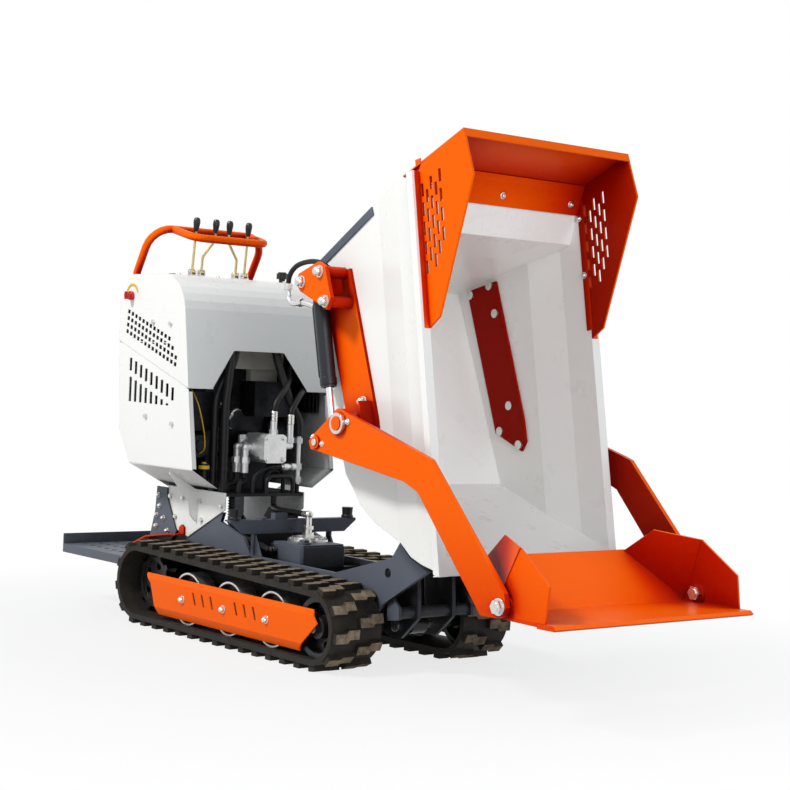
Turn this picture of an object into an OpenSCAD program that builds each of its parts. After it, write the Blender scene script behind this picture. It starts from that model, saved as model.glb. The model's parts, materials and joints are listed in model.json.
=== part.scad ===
// Tracked power carrier: a rubber-tracked undercarriage, an engine cowl with levers and a handlebar,
// a high-sided tipping skip with a spill guard, and a self-loading shovel on two lift arms.
// X runs forward to the shovel, Y to the left and Z up. The origin is on the ground,
// midway along the tracks, on the centre plane. The skip is shown fully tipped.

/* [Tracks] */
// Width of each rubber belt
track_w = 180; // [176:1:184]
// Height of the tread lugs
lug_h = 17; // [13:1:20]
// Thickness of the belt between the lugs
belt_t = 16; // [13:1:18]
// Radius of the belt's inner face at the drive end
drive_r = 105; // [102:1:108]
// Radius of the belt's inner face at the idler end
idler_r = 91; // [88:1:94]
// Diameter of the road rollers
roller_d = 168; // [160:1:170]
// Number of tread links round each belt
link_n = 37; // [34:1:40]

/* [Chassis] */
// Half the gap between the chassis side plates
rail_gap = 143; // [140:1:145]
// Thickness of the chassis side plates
plate_t = 12; // [9:1:12]
// Width of the hydraulic tank
tank_w = 176; // [160:2:178]
// Diameter of the skip hinge pin
hinge_d = 30; // [24:1:34]
// Width of the operator's step
step_w = 540; // [500:5:560]

/* [Cowl and controls] */
// Width of the engine cowl
cowl_w = 570; // [556:2:580]
// Thickness of the cowl's sheet metal
sheet_t = 2; // [1.5:0.5:3]
// Diameter of the handlebar tube
tube_d = 27; // [24:1:30]
// Diameter of the lever knobs
knob_d = 24; // [20:1:28]
// Diameter of the lever rods
lever_d = 9; // [8:0.5:10]

/* [Skip] */
// Inside width of the skip's lower half
skip_w = 556; // [550:2:558]
// Thickness of the skip's sheet
skip_t = 4; // [3:0.5:4]
// Width over the skip's rim
rim_w = 670; // [656:2:680]

/* [Loader] */
// Thickness of each lift arm
arm_t = 15; // [12:1:18]
// Diameter of the arm's main pivot
pivot_d = 40; // [34:1:44]
// Diameter of the cylinder pins
eye_d = 20; // [16:1:22]
// Outside diameter of the lift cylinders
barrel_d = 46; // [44:1:48]
// Diameter of the lift cylinders' rods
rod_d = 20; // [17:1:21]
// Width of the shovel over its side plates
shovel_w = 726; // [716:2:728]

/* [Hidden] */
$fn = 48;
// running gap between a pin and its bore, on the diameter
run = 0.1;
// running gap between curved faces of different pieces
gap = 0.4;
// tracks
track_in = 158;
track_out = track_in + track_w;
drive_x = -484;
drive_z = lug_h + belt_t + drive_r;
idler_x = 500;
idler_z = lug_h + belt_t + idler_r;
roller_z = lug_h + belt_t + roller_d / 2 + gap;
roller_x = [-197, 39, 272.5];
roller_y1 = 312;
roller_w = 70;
roller_rim = 58;
axle_d = 25;
beam_in = 168;
beam_out = 238;
beam_x0 = -370;
beam_x1 = 400;
guard_y = track_out - 10;
guard_t = 4;
// outer face of the belt at each end, and its length round the loop
out_d = drive_r + belt_t;
out_i = idler_r + belt_t;
wrap_l = idler_x - drive_x;
wrap_dz = drive_z - idler_z;
wrap_c = norm([wrap_l, wrap_dz]);
wrap_a = 2 * asin(wrap_dz / wrap_c);
run_l = sqrt(wrap_c * wrap_c - wrap_dz * wrap_dz);
arc_d = (180 + wrap_a) * PI / 180 * out_d;
arc_i = (180 - wrap_a) * PI / 180 * out_i;
loop_l = 2 * run_l + arc_d + arc_i;
pitch = loop_l / link_n;
// skip hinge and the angle at which the skip stands tipped
hinge_x = 615;
hinge_z = 392;
tip_angle = 68;
rim_a = 12.2;
narrow = skip_w / 2;
wide = 306;
rim = rim_w / 2;
// lift arm pivot, rod eye, cylinder top pin in the skip's own frame, and the shovel pivot
piv = [660, 721.5];
eye = [555, 663.3];
top = [-736, 119.5];
dig = [1345, 300];
arm_gap = 4;
arm_y = shovel_w / 2 + arm_gap;
cyl_y = 318;
base_y = narrow + skip_t;
clevis_y = 368;
// tip cylinder: foot pin on the chassis and top pin on the skip
foot = [568, 126];
head = [-270, 0];
cowl_h = cowl_w / 2;
seam_gap = 3;

// plate with an outline in X and Z, from y0 to y1
module plate(pts, y0, y1) translate([0, y1, 0]) rotate([90, 0, 0]) linear_extrude(y1 - y0) polygon(pts);
// round bar along Y
module bar_y(x, z, d, y0, y1) translate([x, y1, z]) rotate([90, 0, 0]) cylinder(d = d, h = y1 - y0);
// round bar along X
module bar_x(y, z, d, x0, x1) translate([x0, y, z]) rotate([0, 90, 0]) cylinder(d = d, h = x1 - x0);
// round bar along Z
module bar_z(x, y, d, z0, z1) translate([x, y, z0]) cylinder(d = d, h = z1 - z0);
// flat sheet of thickness t on the corners p, thickened to the side that sees them run clockwise
module sheet(p, t) {
  k = len(p);
  n = t * unit(cross(p[1] - p[0], p[2] - p[0]));
  polyhedron(concat(p, [for (q = p) q - n]), concat([[for (i = [k - 1 : -1 : 0]) i],
    [for (i = [k : 2 * k - 1]) i]],
    [for (i = [0 : k - 1]) [i, (i + 1) % k, k + (i + 1) % k, k + i]]));
}
// box from one corner to the other
module box(a, b) translate(a) cube(b - a);
// the left piece and its mirror image on the right
module both() {
  children();
  mirror([0, 1, 0]) children();
}
// piece built in the skip's own frame, which is level when the skip is down
module on_skip() translate([hinge_x, 0, hinge_z]) rotate([0, tip_angle, 0]) children();
// hexagon bolt head on a round washer, pointing to -Y from the face at y
module bolt_y(x, z, y, d) {
  bar_y(x, z, 2 * d, y - 2, y);
  translate([x, y - 2, z]) rotate([90, 0, 0]) cylinder(d = 1.7 * d, h = 0.65 * d, $fn = 6);
}
// domed nut on a washer, pointing to -Y from the face at y
module dome_y(x, z, y, d) {
  bar_y(x, z, 2 * d, y - 2, y);
  translate([x, y - 2, z]) rotate([90, 0, 0]) cylinder(d = 1.75 * d, h = 0.5 * d, $fn = 6);
  translate([x, y - 2 - 0.5 * d, z]) rotate([90, 0, 0]) rotate_extrude()
    polygon([[0, -1], [0.72 * d, -1], [0.72 * d, 0.12 * d], [0.62 * d, 0.38 * d], [0.4 * d, 0.56 * d],
      [0, 0.64 * d]]);
}

// route with each inner corner turned into an arc of radius r
function unit(v) = v / norm(v);
function corner(a, p, b, r, n) =
  let(u = unit(a - p), v = unit(b - p), w = acos(u * v), c = p + unit(u + v) * r / sin(w / 2),
      x = unit(p + u * r / tan(w / 2) - c), y = unit(unit(p + v * r / tan(w / 2) - c) - x * cos(180 - w)))
  [for (j = [0 : n]) c + r * (cos((180 - w) * j / n) * x + sin((180 - w) * j / n) * y)];
function route(p, r, n) = [for (i = [0 : len(p) - 1]) each
  (i == 0 || i == len(p) - 1) ? [p[i]] : corner(p[i - 1], p[i], p[i + 1], r, n)];
// the same with a radius for each inner corner
function bends(p, r, n) = [for (i = [0 : len(p) - 1]) each
  (i == 0 || i == len(p) - 1) ? [p[i]] : corner(p[i - 1], p[i], p[i + 1], r[i - 1], n)];
function tangents(p) = [for (i = [0 : len(p) - 1]) unit(p[min(i + 1, len(p) - 1)] - p[max(i - 1, 0)])];
function normals(t, n, i = 0) = i >= len(t) ? [] :
  let(m = unit(n - t[i] * (n * t[i]))) concat([m], normals(t, m, i + 1));
// round tube of diameter d and k sides along the points p
module sweep(p, d, k) {
  t = tangents(p);
  n = normals(t, abs(t[0][2]) < 0.8 ? [0, 0, 1] : [1, 0, 0]);
  m = len(p);
  pts = [for (i = [0 : m - 1]) for (j = [0 : k - 1])
    p[i] + d / 2 * (cos(360 * j / k) * n[i] + sin(360 * j / k) * cross(t[i], n[i]))];
  sides = [for (i = [0 : m - 2]) for (j = [0 : k - 1])
    [i * k + j, (i + 1) * k + j, (i + 1) * k + (j + 1) % k, i * k + (j + 1) % k]];
  ends = [[for (j = [0 : k - 1]) j], [for (j = [k - 1 : -1 : 0]) (m - 1) * k + j]];
  polyhedron(pts, concat(sides, ends), convexity = 8);
}

// tracks

// loop of the belt in X and Z at the given radii
module loop_2d(rd, ri) {
  translate([drive_x, drive_z]) circle(rd);
  translate([idler_x, idler_z]) circle(ri);
  polygon([[drive_x, drive_z - rd], [idler_x, idler_z - ri],
    [idler_x + ri * sin(wrap_a), idler_z + ri * cos(wrap_a)],
    [drive_x + rd * sin(wrap_a), drive_z + rd * cos(wrap_a)]]);
}
// place and outward angle of the belt's outer face at distance s round the loop
function lug_at(s) =
  s < run_l ? [drive_x + s, lug_h, -90] :
  s < run_l + arc_i ? let(a = -90 + (s - run_l) / out_i * 180 / PI)
    [idler_x + out_i * cos(a), idler_z + out_i * sin(a), a] :
  s < 2 * run_l + arc_i ? let(k = s - run_l - arc_i, a = 90 - wrap_a)
    [idler_x + out_i * cos(a) - k * cos(wrap_a), idler_z + out_i * sin(a) + k * sin(wrap_a), a] :
  let(a = 90 - wrap_a + (s - 2 * run_l - arc_i) / out_d * 180 / PI)
    [drive_x + out_d * cos(a), drive_z + out_d * sin(a), a];
// one cranked tread lug between y0 and y1
module lug(y0, y1) translate([0, 0, -3]) linear_extrude(lug_h + 3)
  polygon([[-19, y0], [9, y0], [9, y0 + 32], [19, y0 + 40], [19, y1], [-9, y1], [-9, y0 + 46], [-19,
    y0 + 38]]);
module track() {
  difference() {
    translate([0, track_out, 0]) rotate([90, 0, 0]) linear_extrude(track_w) loop_2d(out_d, out_i);
    translate([0, track_out + 1, 0]) rotate([90, 0, 0]) linear_extrude(track_w + 2) loop_2d(drive_r,
      idler_r);
  }
  for (i = [0 : link_n - 1]) {
    a = lug_at((i + 0.25) * pitch);
    b = lug_at((i + 0.75) * pitch);
    translate([a[0], 0, a[1]]) rotate([0, 90 - a[2], 0]) lug(track_in + 4, track_in + track_w / 2 - 2);
    translate([b[0], 0, b[1]]) rotate([0, 90 - b[2], 0]) lug(track_in + track_w / 2 + 2, track_out - 4);
  }
}
module track_left() color("dimgray") track();
module track_right() color("dimgray") mirror([0, 1, 0]) track();

// toothed drive wheel on the motor's shaft
module sprocket() translate([drive_x, 268, drive_z]) rotate([90, 0, 0]) difference() {
  linear_extrude(38) difference() {
    union() {
      circle(84);
      for (i = [0 : 9]) rotate(36 * i) polygon([[80, -15], [drive_r - 5, -7], [drive_r - 5, 7], [80, 15]]);
    }
    circle(d = 50 + run);
    for (i = [0 : 4]) rotate(72 * i) translate([55, 0]) circle(d = 26);
  }
  translate([0, 0, -1]) cylinder(d = 140, h = 9);
}
module sprocket_left() color("dimgray") sprocket();
module sprocket_right() color("dimgray") mirror([0, 1, 0]) sprocket();

// hydraulic wheel motors on the chassis plates
module drive_motors() color("dimgray") both() {
  bar_y(drive_x, drive_z, 124, rail_gap + plate_t, 222);
  bar_y(drive_x, drive_z, 46, 86, rail_gap + plate_t);
  bar_y(drive_x, drive_z, 50, 222, 274);
  for (i = [0 : 5]) translate([drive_x, 222, drive_z]) rotate([0, 60 * i, 0]) bar_y(0, 48, 12, 0, 5);
}

// front guide wheel
module idler() translate([idler_x, 312, idler_z]) rotate([90, 0, 0]) difference() {
  rotate_extrude() polygon([[15 + run / 2, 0], [32, 0], [34, 24], [72, 24], [74, 0], [idler_r - gap, 0],
    [idler_r - gap, 76], [74, 76], [72, 36], [34, 36], [32, 96], [15 + run / 2, 96]]);
  for (i = [0 : 4]) rotate(72 * i) translate([53, 0, 20]) cylinder(d = 24, h = 20);
}
module idler_left() color("dimgray") idler();
module idler_right() color("dimgray") mirror([0, 1, 0]) idler();

// road roller with a steel rim and a dished web
module roller(x) translate([x, roller_y1, roller_z]) rotate([90, 0, 0])
  rotate_extrude() polygon([[axle_d / 2 + run / 2, 4], [24, 4], [28, 18], [70, 18], [76, 0],
    [roller_d / 2, 0],
    [roller_d / 2, roller_rim], [76, roller_rim], [70, 30], [28, 30], [24, roller_w],
      [axle_d / 2 + run / 2, roller_w]]);
module roller_left_1() color("silver") roller(roller_x[0]);
module roller_left_2() color("silver") roller(roller_x[1]);
module roller_left_3() color("silver") roller(roller_x[2]);
module roller_right_1() color("silver") mirror([0, 1, 0]) roller(roller_x[0]);
module roller_right_2() color("silver") mirror([0, 1, 0]) roller(roller_x[1]);
module roller_right_3() color("silver") mirror([0, 1, 0]) roller(roller_x[2]);

// box beams between the belts' runs, with the roller and idler axles
module track_frames() color("dimgray") both() {
  difference() {
    box([beam_x0, beam_in, 86], [beam_x1, beam_out, 154]);
    box([beam_x0 - 1, beam_in + 8, 94], [beam_x1 + 1, beam_out - 8, 146]);
  }
  for (x = [-280, 60, 330]) box([x - 40, rail_gap + plate_t, 92], [x + 40, beam_in, 148]);
  plate([[380, 94], [500, idler_z - 30], [526, idler_z - 18], [526, idler_z + 18], [500, idler_z + 30],
    [380, 146]],
    beam_in + 8, beam_in + 34);
  bar_y(idler_x, idler_z, 30, beam_in + 34, guard_y);
  for (x = roller_x) bar_y(x, roller_z, axle_d, beam_out - 4, guard_y);
}

// folded side guards that cover the rollers
guard_line = [[-431, 180], [-431, 172], [-397, 147], [-360, 52], [-360, 40], [433, 40], [433, 55],
  [527, 140], [498, 174], [498, 180]];
guard_fold = [[-10, 176], [0, 160], [0, 74], [-12, 50], [-8, 48], [guard_t, 73], [guard_t, 161], [-6, 178]];
module track_guards() color("orangered") both() difference() {
  intersection() {
    translate([-450, guard_y, 0]) rotate([90, 0, 90]) linear_extrude(1000) polygon(guard_fold);
    plate(guard_line, guard_y - 20, guard_y + 10);
  }
  for (x = [-130, -80, -30, 106, 156, 206])
    plate([[x + 3, 108], [x + 13, 108], [x - 3, 146], [x - 13, 146]], guard_y - 1, guard_y + guard_t + 1);
}

// chassis

chassis_line = [[-640, 105], [-640, 300], [-454, 345], [-420, 387], [-250, 387], [-264, 356], [-126, 316],
  [-85, 266], [366, 262], [635, 335], [672, 385], [715, 346], [800, 313], [603, 197], [520, 120], [500,
    105]];
lug_line = [[495, 105], [495, 255], [hinge_x - 34, hinge_z - 8], [hinge_x + 34, hinge_z - 8], [664, 190],
  [664, 158], [590, 92], [545, 92]];
hub_y = 60;
module chassis_frame() color("slategray") {
  both() {
    difference() {
      plate(chassis_line, rail_gap, rail_gap + plate_t);
      bar_y(drive_x, drive_z, 47, rail_gap - 1, rail_gap + plate_t + 1);
      bar_y(621, 290, 28, rail_gap - 1, rail_gap + plate_t + 1);
    }
    difference() {
      union() {
        plate(lug_line, hub_y, hub_y + 12);
        bar_y(hinge_x, hinge_z, 68, hub_y, hub_y + 12);
      }
      bar_y(hinge_x, hinge_z, hinge_d + run, hub_y - 1, hub_y + 13);
      bar_y(foot[0], foot[1], 25 + run, hub_y - 1, hub_y + 13);
    }
    box([495, hub_y + 12, 112], [507, rail_gap, 262]);
  }
  box([-628, -rail_gap, 105], [507, rail_gap, 113]);
  box([-640, -rail_gap, 105], [-628, rail_gap, 300]);
  for (x = [-62, 72]) box([x, -rail_gap, 230], [x + 24, rail_gap, 240]);
  bar_y(640, 175, 36, -rail_gap, rail_gap);
  both() plate([[610, 150], [664, 158], [664, 192], [640, 215], [625, 240], [610, 215]], rail_gap - 10,
    rail_gap);
}
// hinge pin of the skip and foot pin of the tip cylinder
module pivot_pins() color("silver") {
  bar_y(hinge_x, hinge_z, hinge_d, -98, 98);
  bar_y(foot[0], foot[1], 25, -78, 78);
  both() {
    bar_y(hinge_x, hinge_z, hinge_d + 12, 93, 99);
    bar_y(foot[0], foot[1], 35, 73, 79);
  }
}

// hydraulic oil tank between the chassis plates
tank_cut = 8;
tank_line = [[-67, -tank_w / 2], [102 - tank_cut, -tank_w / 2], [102, tank_cut - tank_w / 2],
  [102, tank_w / 2 - tank_cut], [102 - tank_cut, tank_w / 2], [-67, tank_w / 2]];
module hydraulic_tank() color("slategray") {
  translate([0, 0, 240]) linear_extrude(66) polygon(tank_line);
  translate([0, 0, 306]) linear_extrude(6) polygon(inset(tank_line, 4));
  bar_z(62, -50, 44, 312, 318);
  bar_z(62, -50, 30, 318, 326);
}
// bolted round cover with a plated elbow
elbow_z = 398;
module tank_cover() color("gray") {
  bar_z(-18, 22, 130, 312, 320);
  bar_z(-18, 22, 104, 320, 327);
  for (i = [0 : 5]) translate([-18, 22, 320]) rotate(60 * i + 15) translate([58, 0, 0])
    cylinder(d = 12, h = 6, $fn = 6);
  translate([-18, 22, 327]) cylinder(d = 38, h = 14, $fn = 6);
  bar_z(-18, 22, 24, 341, 350);
  translate([-18, 22, 350]) cylinder(d = 34, h = 12, $fn = 6);
  bar_z(-18, 22, 22, 362, elbow_z);
  translate([-18, 22, elbow_z]) sphere(d = 27, $fn = 24);
  bar_x(22, elbow_z, 21, -46, -18);
}

// cross rail that carries the lowered skip, a folded channel with mitred ends
rail_l = 250;
rail_end = [[46 - rail_l, 336], [rail_l - 46, 336], [rail_l, 372], [rail_l, 380], [-rail_l, 380],
  [-rail_l, 372]];
module rest_rail() color("dimgray") {
  difference() {
    translate([-96, 0, 0]) rotate([90, 0, 90]) linear_extrude(32) polygon(rail_end);
    box([-97, -rail_l, 328], [-70, rail_l, 375]);
  }
  both() box([-84, rail_gap, 266], [-68, rail_gap + plate_t, 376]);
  both() plate([[-68, 266], [-30, 266], [-68, 330]], rail_gap + 2, rail_gap + 8);
  translate([-92, -47, 380]) linear_extrude(20)
    polygon([[0, -28], [24, -28], [24, 20], [20, 20], [20, -24], [4, -24], [4, 20], [0, 20]]);
  bar_z(-80, -120, 34, 380, 388);
}
module rest_buffers() color("dimgray") both() translate([-80, 226, 380]) rotate_extrude()
  polygon([[0, 0], [20, 0], [20, 6], [17, 10], [18.5, 34], [0, 35]]);

// cowl

// outline moved inward by t; the points run anticlockwise
function inset(p, t) = [for (i = [0 : len(p) - 1])
  let(a = p[(i + len(p) - 1) % len(p)], b = p[i], c = p[(i + 1) % len(p)],
      u = unit(b - a), v = unit(c - b), m = unit([-u[1] - v[1], u[0] + v[0]]))
  b + m * t / (m * [-u[1], u[0]])];
hood_r = 140;
hood_z = 1167;
hood_arc = [for (a = [9.5 : 11.5 : 90]) [-464 + hood_r * cos(a), 1027 + hood_r * sin(a)]];
hood_line = concat([[-747, 942], [-287, 790]], hood_arc, [[-674, 1167], [-747, 1075]]);
hood_in = concat([[-747, 842], [-270, 690]], hood_arc, [[-674, 1167], [-747, 1075]]);
lower_line = [[-645, 527], [-245, 527], [-287, 790 - seam_gap], [-747, 942 - seam_gap], [-719, 635]];
lower_in = [[-600, 400], [-150, 400], [-230, 880], [-755, 1030], [-719, 635], [-645, 527]];
vent = [16, 13];
vent_0 = [-685, 1040];
vent_step = [24.3, -8.15];
vent_row = [-2.1, -22.6];
vent_n = [12, 13, 14, 14];
slot_w = 16;
slot_step = 34.5;
throttle = [-668, 1094];
latch = [-520, 230];
lever_y = [-107, -70, 70, 107];
lever_x = -578;
lever_z = 1186;

module upper_cowl() color("ivory") difference() {
  plate(hood_line, -cowl_h, cowl_h);
  plate(inset(hood_in, sheet_t), -cowl_h + sheet_t, cowl_h - sheet_t);
  translate([-360, 0, 0]) rotate([90, 0, 90]) linear_extrude(120)
    polygon(route([[189, 780], [189, 795], [101, 919], [-101, 919], [-189, 795], [-189, 780]], 10, 3));
  both() translate([-360, 0, 0]) rotate([90, 0, 90]) linear_extrude(70)
    polygon([[cowl_h - 26, 780], [cowl_h - sheet_t, 780], [cowl_h - sheet_t, 812]]);
  for (j = [0 : 3]) for (i = [0 : vent_n[j] - 1]) let(p = vent_0 + i * vent_step + j * vent_row)
    both() translate([p[0], cowl_h - 6, p[1]]) rotate([0, 10, 0])
      box([-vent[0] / 2, 0, -vent[1] / 2], [vent[0] / 2, 10, vent[1] / 2]);
  bar_y(throttle[0], throttle[1], 10 + run, -cowl_h - 1, -cowl_h + 8);
  bar_z(latch[0], latch[1], 12 + run, 1150, 1170);
  box([lever_x - 40, -128, 1150], [lever_x + 40, 128, 1170]);
}
module lower_cowl() color("ivory") {
  difference() {
    plate(lower_line, -cowl_h, cowl_h);
    plate(inset(lower_in, sheet_t), -cowl_h + sheet_t, cowl_h - sheet_t);
    for (i = [0 : 8]) let(x = -660 + slot_step * i, z = 839 - 11.5 * i)
      both() box([x - slot_w / 2, cowl_h - 6, z], [x + slot_w / 2, cowl_h + 1, z + 43]);
    for (i = [0 : 7]) let(x = -658 + slot_step * i)
      both() box([x - slot_w / 2, cowl_h - 6, 734 - 0.7 * i], [x + slot_w / 2, cowl_h + 1, 817 - 11.5 * i]);
  }
  both() plate([[-245, 530], [-287, 780], [-294, 778], [-252, 530]], cowl_h - 16, cowl_h - sheet_t);
  both() plate([[-730, 905], [-300, 763], [-304, 818], [-730, 960]], cowl_h - sheet_t - 3,
    cowl_h - sheet_t);
}
// sloped hopper under the cowl, the engine bed and the bolted side panels
panel_line = [[-590, 452], [-590, 345], [-545, 310], [-455, 288], [-236, 397], [-236, 452]];
panel_in = rail_gap + plate_t;
module cowl_base() color("ivory") {
  difference() {
    hull() {
      box([-645, -cowl_h, 525], [-245, cowl_h, 527]);
      box([-592, -panel_in - 5, 448], [-232, panel_in + 5, 450]);
    }
    hull() {
      box([-645 + sheet_t, -cowl_h + sheet_t, 526], [-200, cowl_h - sheet_t, 529]);
      box([-592 + sheet_t, -panel_in - 5 + sheet_t, 446], [-200, panel_in + 5 - sheet_t, 450]);
    }
  }
  both() plate(panel_line, panel_in, panel_in + 4);
  both() translate([-408, 0, 0]) rotate([90, 0, 90]) linear_extrude(5) polygon([[panel_in + 4, 346],
    [panel_in + 11, 344],
    [panel_in + 32, 368], [panel_in + 44, 414], [cowl_h - 15, 502], [cowl_h - 15, 516], [panel_in + 4,
      447]]);
}
// bolts of the track guards, the cowl and its base
module frame_bolts() color("silver") both() mirror([0, 1, 0]) {
  for (x = roller_x) dome_y(x, roller_z, -guard_y - guard_t, 12);
  for (p = [[-572, 416], [-494, 416], [-383, 415], [-256, 408], [-373, 352], [-536, 350]])
    bolt_y(p[0], p[1], -panel_in - 4, 9);
  for (p = [[-547, 688], [-379, 670], [-521, 1005], [-411, 1000]]) bolt_y(p[0], p[1], -cowl_h, 9);
  step_bolts();
}

// engine and pump

// engine on its bed, with the fan housing, filter box, silencer, air cleaner and its ribbed intake
bed_z = 449;
intake = [-318, -74, 690];
module engine() color("dimgray") {
  box([-588, -panel_in, bed_z - 9], [-236, panel_in, bed_z]);
  box([-580, -130, bed_z], [-410, 120, 560]);
  bar_y(-505, 620, 210, 120, 190);
  box([-575, -60, 560], [-435, 120, 700]);
  for (i = [0 : 5]) box([-585, -150, 575 + 24 * i], [-425, -60, 585 + 24 * i]);
  box([-560, -140, 575], [-450, -60, 705]);
  bar_x(-40, 780, 110, -640, -480);
  box([-570, -70, 700], [-500, -10, 735]);
  box([-470, 40, 700], [-380, 190, 820]);
  bar_x(pump_y, pump_z, 104, -420, -384);
  translate([-450, -232, 650]) rotate([90, 0, 90]) linear_extrude(90)
    polygon(route([[40, 0], [0, 0], [0, 130], [110, 130], [110, 0], [41, 0]], 22, 4));
  box([-440, -130, 560], [-420, -90, 690]);
  translate(intake) rotate([0, -70, 20]) rotate_extrude() polygon(concat([[0, 0]],
    [for (i = [0 : 7]) each [[34, 9 * i], [34, 9 * i + 5], [29, 9 * i + 6], [29, 9 * i + 9]]], [[0, 72]]));
  translate(intake) rotate([0, -70, 20]) translate([0, 0, 71]) cylinder(d = 56, h = 40);
  bar_x(-205, 600, 74, -410, -330);
  bar_x(-205, 600, 40, -330, -322);
  box([-430, -200, 590], [-405, -140, 612]);
  bar_z(-300, -205, 16, 482, 530);
  bar_z(-300, -205, 34, 530, 545);
}
module fuel_tank() color("white") {
  box([-660, -60, 860], [-420, 180, 990]);
  bar_z(-500, 60, 70, 990, 1008);
  box([-470, 60, 820], [-440, 170, 860]);
}
// gear pump: flange, gear section and end cover, with its elbows and fittings
pump_y = 32;
pump_z = 598;
pump_h = 48;
pump_w = 45;
elbow_x = [-352, -304];
elbow_y = pump_y - pump_w - 30;
tee = [-262, 146];
module pump_block(x0, x1, cut) translate([x0, pump_y, pump_z]) rotate([90, 0, 90]) linear_extrude(x1 - x0)
  polygon([[cut - pump_w, -pump_h], [pump_w - cut, -pump_h], [pump_w, cut - pump_h], [pump_w, pump_h - cut],
    [pump_w - cut, pump_h], [cut - pump_w, pump_h], [-pump_w, pump_h - cut], [-pump_w, cut - pump_h]]);
module hex_z(x, y, d, z0, z1) translate([x, y, z0]) cylinder(d = d, h = z1 - z0, $fn = 6);
module hydraulic_pump() color("silver") {
  box([-384, pump_y - 52, pump_z - 40], [-372, pump_y + 52, pump_z + 40]);
  pump_block(-372, -290, 26);
  pump_block(-290, -262, 20);
  pump_block(-262, -236, 12);
  for (y = [-1, 1]) for (z = [-1, 1])
    translate([-236, pump_y + y * 33, pump_z + z * 36]) rotate([0, 90, 0]) {
      cylinder(d = 19, h = 2);
      cylinder(d = 13, h = 9);
    }
  pump_fittings();
  return_pipe();
}
module pump_fittings() {
  for (x = elbow_x) {
    bar_y(x, pump_z, 34, elbow_y + 22, pump_y - pump_w);
    bar_y(x, pump_z, 24, elbow_y, elbow_y + 22);
    translate([x, elbow_y, pump_z]) sphere(d = 27, $fn = 24);
    bar_z(x, elbow_y, 24, pump_z - 32, pump_z);
    hex_z(x, elbow_y, 35, pump_z - 52, pump_z - 32);
    bar_z(x, elbow_y, 27, pump_z - 84, pump_z - 52);
  }
  hex_z(-262, pump_y + 8, 30, pump_z + pump_h, pump_z + pump_h + 16);
  bar_z(-262, pump_y + 8, 23, pump_z + pump_h + 16, pump_z + pump_h + 44);
  bar_y(-252, pump_z + 10, 24, pump_y + pump_w, pump_y + pump_w + 24);
  translate([-252, pump_y + pump_w + 24, pump_z + 10]) sphere(d = 25, $fn = 24);
  hex_z(-252, pump_y + pump_w + 24, 30, pump_z + 20, pump_z + 38);
  bar_z(-252, pump_y + pump_w + 24, 22, pump_z + 8, pump_z + 82);
}
// plated pipe with a tee at the right of the pump
module return_pipe() {
  bar_z(tee[0], tee[1], 15, 478, 640);
  hex_z(tee[0], tee[1], 26, 484, 502);
  hex_z(tee[0], tee[1], 26, 526, 548);
  hex_z(tee[0], tee[1], 26, 616, 634);
  bar_y(tee[0], 537, 15, 76, tee[1]);
  bar_y(tee[0], 537, 24, 84, 104);
  bar_y(tee[0], 537, 24, 116, 132);
}
// hydraulic hoses between the pump, the valve, the bed and the tank
hose_d = 20;
thin_d = 15;
valve_z = 1060;
hose_runs = [
  [[-352, elbow_y, 514], [-352, elbow_y, 480], [-345, -85, 470], [-345, -85, bed_z]],
  [[-304, elbow_y, 514], [-304, elbow_y, 490], [-275, -85, 480], [-275, -85, bed_z]],
  [[-262, pump_y + 8, 690], [-262, 40, 745], [-268, 85, 795], [-330, 150, 840], [-345, 165, 1000], [-600,
    165, 1036],
    [-600, 120, 1038], [-600, 120, valve_z]],
  [[-620, -95, valve_z], [-620, -95, 1030], [-350, -95, 1020], [-325, -98, 900], [-305, -128, 740],
    [-300, -130, 520],
    [-300, -130, bed_z]],
  [[-640, 80, valve_z], [-640, 80, 1030], [-350, 80, 1020], [-335, 92, 900], [-290, 120, 760],
    [tee[0], tee[1], 690], [tee[0], tee[1], 640]],
  [[-540, -60, valve_z], [-540, -60, 1035], [-340, -66, 1010], [-345, -72, 880], [-338, -145, 780],
    [-338, -145, bed_z]],
  [[-252, pump_y + pump_w + 24, 680], [-252, 101, 725], [-270, 150, 782], [-330, 215, 800], [-400, 222,
    900],
    [-560, 222, 1020], [-540, 125, 1034], [-540, 125, valve_z]],
  [[-40, -tank_w / 2, 285], [-40, -118, 285], [-110, -124, 300], [-250, -124, 320], [-250, -124, 440]],
  [[-46, 22, elbow_z], [-190, 22, elbow_z], [-260, 50, elbow_z + 4], [-260, 50, bed_z - 9]]];
thin_runs = [
  [[tee[0], 76, 537], [tee[0], 20, 537], [-266, -34, 500], [-266, -34, bed_z]],
  [[tee[0], tee[1], 478], [tee[0], tee[1], bed_z]],
  [[-248, 118, bed_z], [-248, 118, 505], [-248, 10, 505], [-248, 10, bed_z]],
  [[-330, 60, bed_z], [-330, 60, 520], [-322, 130, 530], [-322, 130, bed_z]]];
module hoses() color("dimgray") {
  for (p = hose_runs) sweep(route(p, 22, 3), hose_d, 10);
  for (p = thin_runs) sweep(route(p, 18, 3), thin_d, 8);
}

// controls

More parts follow.
